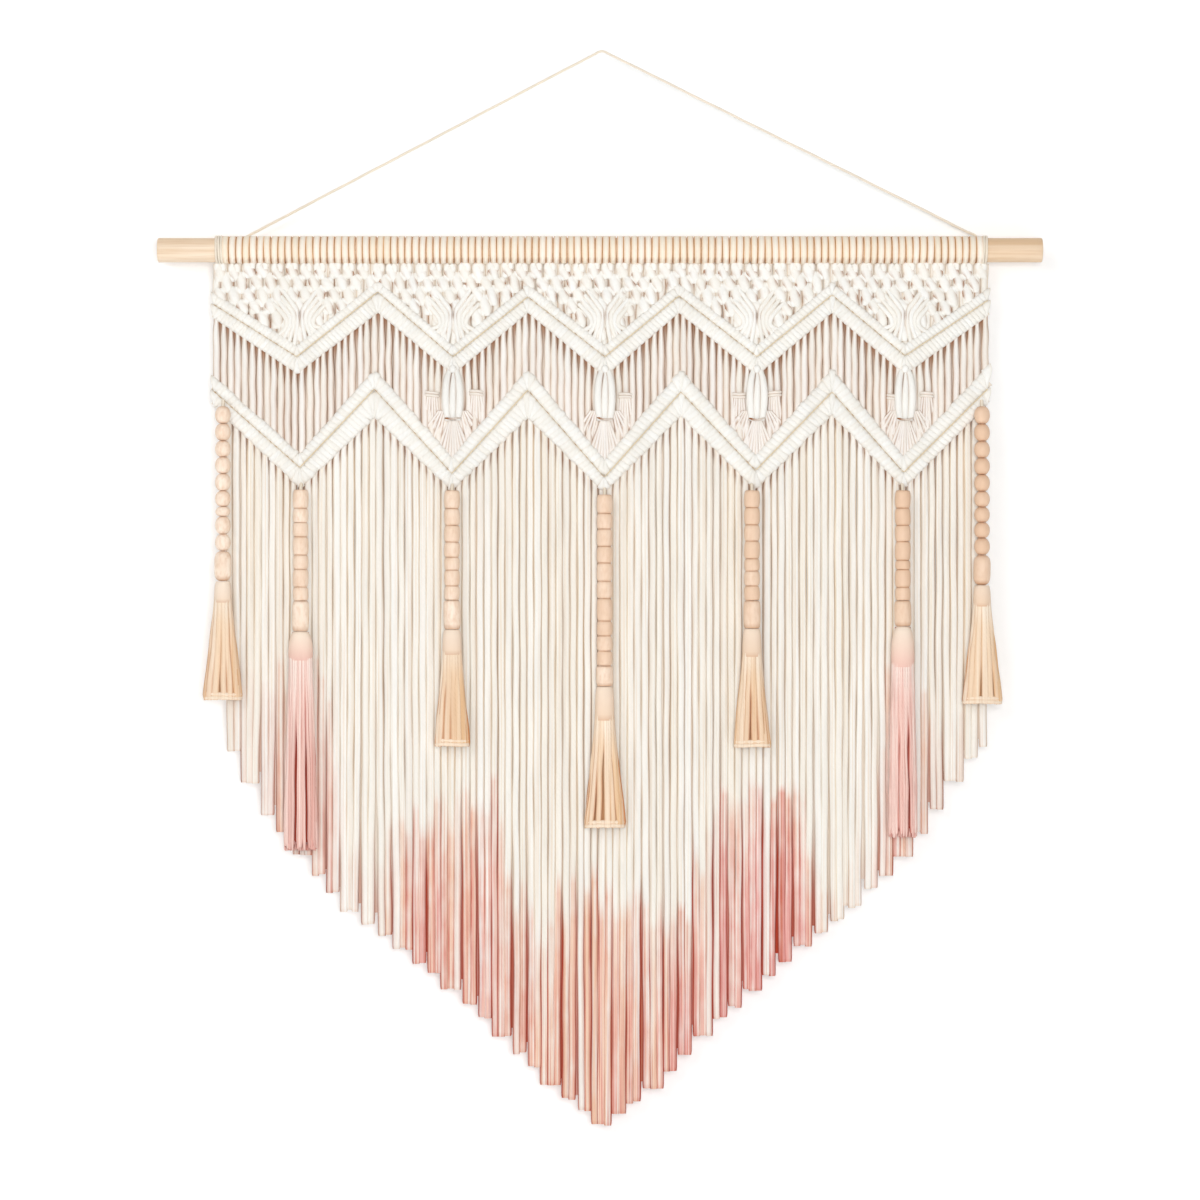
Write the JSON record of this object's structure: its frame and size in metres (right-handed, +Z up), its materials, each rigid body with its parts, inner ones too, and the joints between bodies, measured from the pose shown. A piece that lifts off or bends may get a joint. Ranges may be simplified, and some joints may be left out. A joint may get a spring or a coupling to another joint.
{
  "type": "macrame wall hanging on a wooden rod",
  "caption": "Macrame wall hanging: knotted cotton panel with zigzag bands, a long pointed fringe, wooden bead strings and tassels, on a round wooden rod hung by a thin cord.",
  "frame": {"origin": "top of the bend of the hanging cord, where it lies on its nail", "axes": "+Z up, +X to the right as seen from the front, and the front faces -Y"},
  "size_m": [0.902, 0.0393, 1.0996],
  "materials": {
    "pine": "plain sanded round rod, straight fine grain",
    "ivory_cotton": "soft twisted cotton cord, knotted, matt",
    "dyed_cotton": "ivory cotton cord dip-dyed salmon and rose towards the point, matt",
    "hanging_cord": "thin twisted cord, matt",
    "peach_wood": "smooth turned wood, matt",
    "straw_cotton": "fine straw-coloured strands, slight sheen",
    "pink_cotton": "fine pink strands, slight sheen"
  },
  "bodies": {
    "root": {"rod": "pine", "hanging_cord": "hanging_cord", "cord_coil_left": "hanging_cord", "cord_coil_right": "hanging_cord", "macrame": "ivory_cotton", "fringe": "dyed_cotton", "bead_string_1": "peach_wood", "bead_string_2": "peach_wood", "bead_string_3": "peach_wood", "bead_string_4": "peach_wood", "bead_string_5": "peach_wood", "bead_string_6": "peach_wood", "bead_string_7": "peach_wood", "tall_bead_1": "peach_wood", "tall_bead_2": "peach_wood", "tall_bead_3": "peach_wood", "tall_bead_4": "peach_wood", "tall_bead_5": "peach_wood", "tall_bead_6": "peach_wood", "tall_bead_7": "peach_wood", "tassel_1": "straw_cotton", "tassel_2": "pink_cotton", "tassel_3": "straw_cotton", "tassel_4": "straw_cotton", "tassel_5": "straw_cotton", "tassel_6": "pink_cotton", "tassel_7": "straw_cotton"}
  },
  "joints": []
}
